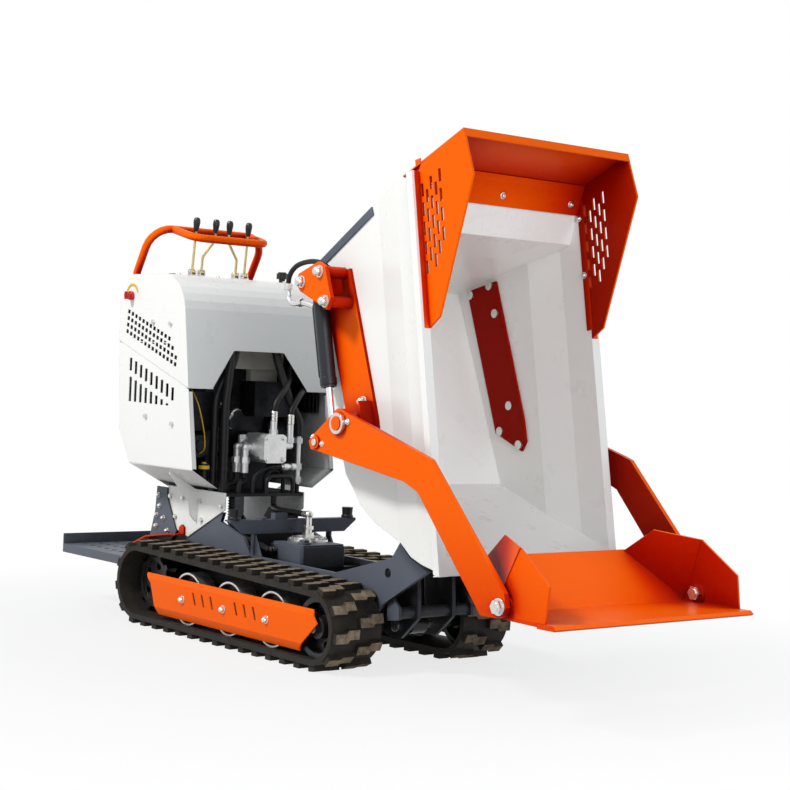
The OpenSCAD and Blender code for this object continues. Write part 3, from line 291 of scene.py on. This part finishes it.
def rimmed(name, col, rim_col):
    """Dark painted wheel with a rim that the belt has worn bright."""
    n = Nodes(name)
    g = n.axes("Generated")
    r = n.length(n.math("SUBTRACT", g["X"], 0.5), n.math("SUBTRACT", g["Z"], 0.5))
    scuff = n.noise(70.0, 5.0, 0.7)
    rim = n.math("MULTIPLY", n.span(r, 0.462, 0.474), n.span(scuff, 0.3, 0.45, 0.5, 1.0))
    base = n.drift(scuff, col, 0.6, hi=0.75)
    n.shine(0.4)
    n.shader("Base Color", n.mix(rim, base, rim_col))
    n.shader("Metallic", rim)
    n.shader("Roughness", n.span(scuff, 0.3, 0.7, 0.35, 0.55))
    n.surface(scuff, 0.1, 0.001, 0.0015)
    return n.mat


def plastic(name, col, rough, grain=0.15):
    """Moulded plastic with a fine texture."""
    n = Nodes(name)
    b = n.noise(11.0, 4.0)
    n.shine(rough, specular=0.45)
    n.shader("Base Color", n.drift(b, col, 0.8, hi=0.75))
    n.shader("Roughness", n.span(b, 0.3, 0.7, rough * 0.8, rough * 1.25))
    n.surface(n.noise(160.0, 3.0), grain, 0.0008, 0.0015)
    return n.mat


# the dark grey after the cream is painted shade for the cowl's recesses
CREAM, CREAM_DEEP_SHADE = (0.89, 0.884, 0.858), (0.09, 0.088, 0.084)
ORANGE = (0.95, 0.122, 0.0010)
# painted shade: the tones that the orange, slate and black steel paints take in recesses
ORANGE_SHADE, ORANGE_DEEP_SHADE = (0.64, 0.022, 0.0003), (0.26, 0.002, 0.0001)
SLATE, SLATE_DEEP_SHADE = (0.112, 0.128, 0.162), (0.010, 0.011, 0.014)
STEEL, STEEL_DEEP_SHADE = (0.020, 0.022, 0.029), (0.006, 0.006, 0.007)
BLACK = (0.012, 0.012, 0.013)
CREAM_FINISH = dict(rough=0.3, peel=0.03, wear=0.3, wear_col=(0.45, 0.44, 0.42), coat=0.15,
                    shade=0.975)
mats = {
    "cream_paint": paint("cream_paint", CREAM, **CREAM_FINISH),
    "orange_paint": paint(
        "orange_paint", ORANGE, rough=0.34, peel=0.04, wear=0.35, wear_col=(0.42, 0.03, 0.004),
        shade=0.95, dust=0.05, specular=0.3, ior=1.27, tint=(1.0, 0.32, 0.03),
        shade_tones=((0.36, ORANGE_DEEP_SHADE), (0.62, ORANGE_SHADE), (0.80, ORANGE)), low=0.18),
    "slate_paint": paint(
        "slate_paint", SLATE, rough=0.42, peel=0.08, wear=0.4, wear_col=(0.25, 0.26, 0.27),
        shade=0.8, dust=0.15, ior=1.3, shade_tones=((0.22, SLATE_DEEP_SHADE), (0.45, SLATE))),
    "black_steel": paint(
        "black_steel", STEEL, rough=0.3, peel=0.05, wear=0.4, wear_col=(0.2, 0.2, 0.2),
        shade=0.8, dust=0.2, specular=0.3, shade_tones=((0.25, STEEL_DEEP_SHADE), (0.5, STEEL))),
    "bright_steel": metal("bright_steel", (0.74, 0.73, 0.71), rough=0.27, grain=0.12),
    "roller_steel": rimmed("roller_steel", (0.016, 0.016, 0.018), (0.72, 0.70, 0.68)),
    "chrome_rod": metal("chrome_rod", (0.86, 0.86, 0.86), rough=0.10, grain=0.05, grime=0.08),
    "pump_aluminium": metal(
        "pump_aluminium", (0.90, 0.90, 0.90), rough=0.36, grain=0.15, scale=110.0, whole=0.7),
    "yellow_zinc": metal(
        "yellow_zinc", (0.80, 0.62, 0.27), rough=0.26, grain=0.2, scale=40.0, grime=0.2),
    "engine_iron": metal(
        "engine_iron", (0.035, 0.036, 0.04), rough=0.5, grain=0.4, scale=45.0, grime=0.5),
    "track_rubber": tread(
        "track_rubber", (0.016, 0.0135, 0.011), (0.29, 0.225, 0.155),
        drive=(-0.484, 0.138), idler=(0.5, 0.124), belt=(0.121, 0.107)),
    "black_rubber": rubber(
        "black_rubber", scaled(BLACK, 0.6), rough=0.42, dust_col=(0.05, 0.047, 0.044), dust=0.12),
    "black_plastic": plastic("black_plastic", BLACK, rough=0.32),
    "white_plastic": plastic("white_plastic", (0.62, 0.60, 0.52), rough=0.5),
    "red_plastic": plastic("red_plastic", (0.55, 0.012, 0.01), rough=0.25, grain=0.05),
}
yellow = plastic("yellow_plastic", (0.83, 0.50, 0.01), rough=0.35, grain=0.08)
slot_of = {s["node"]: s["material_slot"] for s in frame["record"]["subparts"]}
for name, obj in nodes.items():
    obj.data.materials.clear()
    obj.data.materials.append(mats[slot_of[name]])
# inside the cowl, round the engine, the cream takes painted shade in its recesses above 0.3 m, and a
# little dust low down
shaded_cowl_paint = paint("shaded_cream", CREAM, dust=0.03, shade_tones=((0.07, CREAM_DEEP_SHADE), (0.19, CREAM)), low=0.3,
              **CREAM_FINISH)
for name in ("upper_cowl", "lower_cowl", "cowl_base"):
    nodes[name].data.materials[0] = shaded_cowl_paint


# pieces that ride on the frame

SMOOTH = 60  # degrees, for what is drawn, bent or turned in one run


def piece(name, bm, body, slot, mat=None, sharp=40):
    """Mesh object on a body, smooth up to the angle sharp, in its slot's material or its own."""
    mesh = bpy.data.meshes.new(name)
    bmesh.ops.recalc_face_normals(bm, faces=bm.faces[:])
    bm.to_mesh(mesh)
    bm.free()
    mesh.polygons.foreach_set("use_smooth", [True] * len(mesh.polygons))
    mesh.set_sharp_from_angle(angle=math.radians(sharp))
    mesh.materials.append(mat or mats[slot])
    obj = bpy.data.objects.new(name, mesh)
    scene.collection.objects.link(obj)
    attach(obj, body)
    return obj


def mm(points):
    """Points in metres from points in mm."""
    return [Vector(p) / 1000 for p in points]


def on_side(points, side):
    """The same, on the left (1) or the right (-1)."""
    return mm((x, side * y, z) for x, y, z in points)


def route(points, radius):
    """Path through the points with each inner corner rounded."""
    steps = 8
    out = [points[0]]
    for a, b, c in zip(points, points[1:], points[2:]):
        d = min(radius, (b - a).length * 0.49, (c - b).length * 0.49)
        p = b + (a - b).normalized() * d
        q = b + (c - b).normalized() * d
        out += [p.lerp(b, t).lerp(b.lerp(q, t), t) for t in (i / steps for i in range(steps + 1))]
    return out + [points[-1]]


def even(path, step):
    """The same path with points at even steps."""
    out = [path[0]]
    for a, b in zip(path, path[1:]):
        k = max(1, round((b - a).length / step))
        out += [a.lerp(b, i / k) for i in range(1, k + 1)]
    return out


def circle(sides):
    return [2 * math.pi * k / sides for k in range(sides)]


def skin(bm, rings):
    """Closed surface over rings that have the same number of points."""
    sides = len(rings[0])
    for r0, r1 in zip(rings, rings[1:]):
        for k in range(sides):
            bm.faces.new((r0[k], r0[(k + 1) % sides], r1[(k + 1) % sides], r1[k]))
    bm.faces.new(rings[0])
    bm.faces.new(rings[-1])


def ribbed(radius, depth, rate):
    """Radius of a ribbed hose by the distance run along it."""
    return lambda run: radius + depth * math.sin(run * rate)


def tube(bm, path, radius, sides=14):
    """Round tube along a path; radius is a number or a function of the distance run."""
    normal = Vector(UP)
    rings = []
    run = 0.0
    for i, p in enumerate(path):
        t = (path[min(i + 1, len(path) - 1)] - path[max(i - 1, 0)]).normalized()
        if i == 0 and abs(t.z) > 0.8:
            normal = Vector((1, 0, 0))
        normal = (normal - t * normal.dot(t)).normalized()
        side = t.cross(normal)
        r = radius(run) if callable(radius) else radius
        rings.append([bm.verts.new(p + r * (math.cos(a) * normal + math.sin(a) * side))
                      for a in circle(sides)])
        if i + 1 < len(path):
            run += (path[i + 1] - p).length
    skin(bm, rings)


def lathe(bm, at, axis, profile, sides):
    """Turned form: profile gives radius and height along the axis."""
    rot = Vector(UP).rotation_difference(Vector(axis).normalized()).to_matrix()
    skin(bm, [[bm.verts.new(Vector(at) + rot @ Vector((r * math.cos(a), r * math.sin(a), h)))
               for a in circle(sides)] for r, h in profile])


# radius and height of a screw's head and washer, as parts of its size
SCREW_WASHER = 0.72
SCREW_HEAD = ((SCREW_WASHER, 0.08), (0.6, 0.12), (0.5, 0.13), (0.5, 0.3), (0.42, 0.46), (0.26, 0.54),
              (0.2, 0.5), (0.18, 0.36))
SCREW_SINK = 0.0004


def screw_set(name, body, size, places):
    """Round-headed screws on washers; each place is a point and the way that the head looks."""
    profile = [(size * SCREW_WASHER, -SCREW_SINK)] + [(size * r, size * h) for r, h in SCREW_HEAD]
    bm = bmesh.new()
    for at, axis in places:
        lathe(bm, at, axis, profile, 20)
    piece(name, bm, body, "bright_steel")


SKIP_TIP = math.radians(68)
SKIP_HINGE_X, SKIP_HINGE_Z = 615, 392


def skip_point(u, y, w):
    """Point of the skip's own frame, in mm, at the tipped rest pose."""
    c, s = math.cos(SKIP_TIP), math.sin(SKIP_TIP)
    return Vector((SKIP_HINGE_X + u * c + w * s, y, SKIP_HINGE_Z - u * s + w * c)) / 1000


def skip_axis(u, y, w):
    return (skip_point(u, y, w) - skip_point(0, 0, 0)).normalized()


# hydraulic hoses, on the routes that the solids have, in mm
# heights of the bed and the valve, Y of the pump's elbows, X and Y of the tee
BED, VALVE, ELBOW_Y, TEE = 449, 1060, -43, (-262, 146)
SLEEVED = [
    [(-620, -95, VALVE), (-620, -95, 1030), (-350, -95, 1020), (-325, -98, 900), (-305, -128, 740),
     (-300, -130, 520), (-300, -130, BED)],
    [(-640, 80, VALVE), (-640, 80, 1030), (-350, 80, 1020), (-335, 92, 900), (-290, 120, 760),
     (*TEE, 690), (*TEE, 640)],
    [(-540, -60, VALVE), (-540, -60, 1035), (-340, -66, 1010), (-345, -72, 880), (-338, -145, 780),
     (-338, -145, BED)]]
HOSES = [
    [(-352, ELBOW_Y, 514), (-352, ELBOW_Y, 480), (-345, -85, 470), (-345, -85, BED)],
    [(-304, ELBOW_Y, 514), (-304, ELBOW_Y, 490), (-275, -85, 480), (-275, -85, BED)],
    [(-262, 40, 690), (-262, 40, 745), (-268, 85, 795), (-330, 150, 840), (-345, 165, 1000),
     (-600, 165, 1036), (-600, 120, 1038), (-600, 120, VALVE)],
    [(-252, 101, 680), (-252, 101, 725), (-270, 150, 782), (-330, 215, 800), (-400, 222, 900),
     (-560, 222, 1020), (-540, 125, 1034), (-540, 125, VALVE)],
    [(-46, 22, 398), (-190, 22, 398), (-260, 50, 402), (-260, 50, 440)]]
SPRUNG = [(-40, -88, 285), (-40, -118, 285), (-110, -124, 300), (-250, -124, 320), (-250, -124, 440)]
THIN = [
    [(TEE[0], 76, 537), (TEE[0], 20, 537), (-266, -34, 500), (-266, -34, BED)],
    [(*TEE, 478), (*TEE, BED)],
    [(-248, 118, BED), (-248, 118, 505), (-248, 10, 505), (-248, 10, BED)],
    [(-330, 60, BED), (-330, 60, 520), (-322, 130, 530), (-322, 130, BED)]]


def hose_set():
    bm = bmesh.new()
    for p in SLEEVED:
        tube(bm, even(route(mm(p), 0.05), 0.006), ribbed(0.0145, 0.0008, 520))
    for p in HOSES:
        tube(bm, route(mm(p), 0.045), 0.0102)
    tube(bm, even(route(mm(SPRUNG), 0.03), 0.0016), ribbed(0.0108, 0.0022, 700))
    for p in THIN:
        tube(bm, route(mm(p), 0.04), 0.0076, 12)
    obj = piece("hose_set", bm, "base", "black_rubber", sharp=SMOOTH)
    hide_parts("hoses")


CRIMP = [(0.0105, 0), (0.0128, 0.001), (0.0128, 0.007), (0.0120, 0.009), (0.0128, 0.011),
         (0.0128, 0.018), (0.0120, 0.020), (0.0128, 0.022), (0.0128, 0.030), (0.0108, 0.033)]


def hose_ends():
    """Crimped sleeves where the hoses meet the pump and the tee."""
    bm = bmesh.new()
    for at in mm((HOSES[2][0], HOSES[3][0], SLEEVED[1][-1])):
        lathe(bm, at, UP, CRIMP, 20)
    piece("hose_ends", bm, "base", "bright_steel")


BOOT, BOOT_AXIS = Vector((-0.318, -0.074, 0.690)), Vector((-0.883, -0.321, 0.342))
CLAMP_PLACES = (0.004, 0.064)
CLAMP_BAND = [(0.0300, 0), (0.0356, 0), (0.0362, 0.001), (0.0362, 0.009), (0.0356, 0.010),
              (0.0300, 0.010)]
CLAMP_SCREW = [(0.004, -0.012), (0.006, -0.012), (0.006, 0.010), (0.004, 0.012)]
CLAMP_SCREW_AT, CLAMP_SCREW_AXIS = Vector((0.022, -0.034, 0.012)), (0.5, 0.3, 0.8)


def boot_clamps():
    """Band clamps round the engine's intake boot, each with its screw."""
    bm = bmesh.new()
    for s in CLAMP_PLACES:
        at = BOOT + BOOT_AXIS * s
        lathe(bm, at, BOOT_AXIS, CLAMP_BAND, 32)
        lathe(bm, at + CLAMP_SCREW_AT, CLAMP_SCREW_AXIS, CLAMP_SCREW, 8)
    piece("boot_clamps", bm, "base", "bright_steel")


CAP_AT = (-0.300, -0.205, 0.527)
CAP = [(0.0172, 0), (0.0183, 0.001), (0.0183, 0.010), (0.0160, 0.014), (0.0090, 0.016),
       (0.0070, 0.022), (0.0055, 0.023)]
CABLE = [(-345, -238, 790), (-305, -232, 740), (-300, -215, 671), (-300, -206, 629),
         (-302, -203, 590), (-330, -206, 575)]


def engine_trim():
    """The engine's yellow cap and cable."""
    bm = bmesh.new()
    lathe(bm, CAP_AT, UP, CAP, 20)
    tube(bm, route(mm(CABLE), 0.03), 0.0021, 8)
    piece("engine_trim", bm, "base", "white_plastic", yellow)


SHIELD_X, SHIELD_LONG, SHIELD_STEPS = -0.690, 0.360, 96
SHIELD_Y, SHIELD_RIB, SHIELD_SHEET = 0.2685, 0.0025, 0.0012
SHIELD_FOOT, SHIELD_TOP = 0.718, 0.898


def heat_shield():
    """Ribbed shield inside the left side panel, behind its slots."""
    bm = bmesh.new()
    rings = []
    for i in range(SHIELD_STEPS + 1):
        x = SHIELD_X + SHIELD_LONG * i / SHIELD_STEPS
        outer = SHIELD_Y + SHIELD_RIB * math.sin(i * math.pi / 3)
        inner = outer - SHIELD_SHEET
        section = (outer, SHIELD_FOOT), (outer, SHIELD_TOP), (inner, SHIELD_TOP), (inner, SHIELD_FOOT)
        rings.append([bm.verts.new((x, y, z)) for y, z in section])
    skin(bm, rings)
    piece("heat_shield", bm, "base", "black_steel", sharp=SMOOTH)


KNOB = Vector((-0.668, -0.2853, 1.094))
ARC_FROM, ARC_SWEEP, ARC_STEPS = 18, 144, 24
ARC_SECTION = ((0.033, 0), (0.033, -0.0006), (0.042, -0.0006), (0.042, 0))


def knob_scale():
    """Bare yellow arc round the throttle knob."""
    bm = bmesh.new()
    rings = []
    for i in range(ARC_STEPS + 1):
        a = math.radians(ARC_FROM + ARC_SWEEP * i / ARC_STEPS)
        rings.append([bm.verts.new(KNOB + Vector((r * math.cos(a), y, r * math.sin(a))))
                      for r, y in ARC_SECTION])
    skin(bm, rings)
    piece("knob_scale", bm, "base", "white_plastic", yellow)


def guard_screws():
    """Screws of the guard's sloped back plate and of its two side plates."""
    slope = skip_axis(0.568, 0, 0.822)
    places = [(skip_point(-819.7, y, 610.6), slope) for y in (-267, 0, 267)]
    places += [(skip_point(u, side * 303, w), (0, -side, 0))
               for side in (-1, 1) for u, w in ((-784, 597), (-617.5, 564))]
    screw_set("guard_screws", "skip", 0.014, places)


HEM_SLANT = math.radians(12.2)
HEM_ENDS = (-1002, -560)
HEM_SECTION = ((303.0, 414), (305.6, 412), (305.6, 431), (307, 434), (305, 436), (303.0, 431))


def guard_hems():
    """Lower hems of the guard's side plates, folded inside the skip's walls."""
    c, s = math.cos(HEM_SLANT), math.sin(HEM_SLANT)
    bm = bmesh.new()
    for side in (-1, 1):
        skin(bm, [[bm.verts.new(skip_point(u * c + v * s, side * y, v * c - u * s))
                   for y, v in HEM_SECTION] for u in HEM_ENDS])
    piece("guard_hems", bm, "skip", "orange_paint")


PORT_ELBOW, HOSE_NUT = (384, 325, 1064), (313, 330, 1100)
CYLINDER_HOSE = [(313, 330, 1118), (315, 330, 1138), (330, 330, 1158), (354, 330, 1172),
                 (384, 330, 1179), (428, 330, 1183), (470, 330, 1178), (492, 312, 1160)]
CYLINDER_ELBOW = [(432, 318, 1052), PORT_ELBOW, (345, 330, 1059), (322, 330, 1068), (313, 330, 1092),
                  (313, 330, 1112)]
NUT = [(0.009, 0), (0.0128, 0.001), (0.0128, 0.018), (0.0095, 0.02)]


def cylinder_lines():
    """Plated elbow on each lift cylinder's port, and the hose from it over the bracket."""
    for name, side in (("left", 1), ("right", -1)):
        bm = bmesh.new()
        tube(bm, route(on_side(CYLINDER_HOSE, side), 0.03), 0.0075)
        piece("cylinder_hose_" + name, bm, "loader_barrel_" + name, "black_rubber", sharp=SMOOTH)
        bm = bmesh.new()
        tube(bm, route(on_side(CYLINDER_ELBOW, side), 0.03), 0.0085)
        upper, lower = on_side((HOSE_NUT, PORT_ELBOW), side)
        lathe(bm, upper, UP, NUT, 6)
        lathe(bm, lower, (-1, 0, -0.1), NUT, 6)
        piece("cylinder_elbow_" + name, bm, "loader_barrel_" + name, "bright_steel")


def small_screws():
    """Screws of the hood's top, and the keepers of the pivot rings and eye pins."""
    hood = mm((x, y, 1167) for x in (-640, -486) for y in (-215, -60, 60, 215))
    screw_set("hood_screws", "base", 0.012, [(at, UP) for at in hood])
    rings = [(0.698, 0.383, 0.728)]
    eyes = [(0.538, 0.382, 0.6773), (0.582, 0.382, 0.6603)]
    for name, size, places in (("ring_screws", 0.013, rings), ("eye_screws", 0.012, eyes)):
        screw_set(name, "loader", size, [(Vector((x, side * y, z)), (0, side, 0))
                                         for side in (-1, 1) for x, y, z in places])


hose_set()
hose_ends()
boot_clamps()
engine_trim()
heat_shield()
knob_scale()
guard_screws()
guard_hems()
cylinder_lines()
small_screws()


# floor, light and background

FLOOR_HALF, FLOOR_Z = 30, -0.0005
FLOOR_TONES = [(0.3, (0.60, 0.60, 0.60)), (0.7, (0.63, 0.63, 0.63))]
FADE_FROM, FADE_TO, FADE_LEAST = 0.8, 2.1, 0.78
SKY, SKY_STRENGTH = (0.87, 0.945, 1.0), 0.43
AIM = (0.3, 0, 0.7)
LAMPS = [  # name, place, what it points at, width, watts, colour
    ("key", (-0.9, -5.6, 6.2), AIM, 1.4, 440, (1.0, 0.985, 0.96)),
    ("fill", (6.0, -2.0, 3.2), AIM, 4.0, 90, (0.93, 0.965, 1.0)),
    ("front", (5.6, -0.7, 1.1), (0.9, 0, 0.7), 3.0, 55, (0.95, 0.975, 1.0))]


def unlit(tree):
    """1 for rays that should see the plain white background: camera, mirror and clear rays."""
    path = tree.nodes.new("ShaderNodeLightPath")
    value = path.outputs["Is Camera Ray"]
    for name in ("Is Glossy Ray", "Is Transmission Ray"):
        m = tree.nodes.new("ShaderNodeMath")
        m.operation = "MAXIMUM"
        tree.links.new(value, m.inputs[0])
        tree.links.new(path.outputs[name], m.inputs[1])
        value = m.outputs[0]
    return value


def set_floor():
    """Pale floor that takes the shadow near the machine and fades into the white background."""
    bm = bmesh.new()
    bmesh.ops.create_grid(bm, x_segments=1, y_segments=1, size=FLOOR_HALF)
    mesh = bpy.data.meshes.new("floor")
    bm.to_mesh(mesh)
    bm.free()
    floor = bpy.data.objects.new("floor", mesh)
    scene.collection.objects.link(floor)
    floor.location = (0, 0, FLOOR_Z)
    n = Nodes("floor")
    n.shine(0.9, specular=0.1)
    n.shader("Base Color", n.ramp(n.noise(2.0, 3.0), FLOOR_TONES))
    white = n.add("ShaderNodeEmission", Strength=1.0)
    far = n.add("ShaderNodeVectorMath", operation="LENGTH")
    n.link(n.coord.outputs["Object"], far.inputs[0])
    fade = n.span(far.outputs["Value"], FADE_FROM, FADE_TO, FADE_LEAST, 1.0)
    mix = n.add("ShaderNodeMixShader")
    n.link(n.math("MULTIPLY", fade, unlit(n.tree)), mix.inputs[0])
    n.link(n.bsdf.outputs[0], mix.inputs[1])
    n.link(white.outputs[0], mix.inputs[2])
    n.link(mix.outputs[0], n.tree.nodes["Material Output"].inputs["Surface"])
    mesh.materials.append(n.mat)


def set_world():
    """Pale sky that lights the machine, behind a white that only unlit rays see."""
    w = bpy.data.worlds.new("world")
    scene.world = w
    w.use_nodes = True
    t = w.node_tree
    soft = t.nodes["Background"]
    white = t.nodes.new("ShaderNodeBackground")
    for node, col, strength in ((soft, SKY, SKY_STRENGTH), (white, (1, 1, 1), 1.0)):
        node.inputs["Color"].default_value = (*col, 1)
        node.inputs["Strength"].default_value = strength
    mix = t.nodes.new("ShaderNodeMixShader")
    t.links.new(unlit(t), mix.inputs["Fac"])
    t.links.new(soft.outputs[0], mix.inputs[1])
    t.links.new(white.outputs[0], mix.inputs[2])
    t.links.new(mix.outputs[0], t.nodes["World Output"].inputs["Surface"])


def set_lamp(name, where, aim, size, power, col):
    data = bpy.data.lights.new(name, "AREA")
    data.shape = "DISK"
    data.size = size
    data.energy = power
    data.color = col
    obj = bpy.data.objects.new(name, data)
    scene.collection.objects.link(obj)
    obj.location = where
    obj.rotation_euler = (Vector(aim) - Vector(where)).to_track_quat("-Z", "Y").to_euler()


set_floor()
set_world()
for lamp in LAMPS:
    set_lamp(*lamp)
scene.view_settings.view_transform = "Standard"
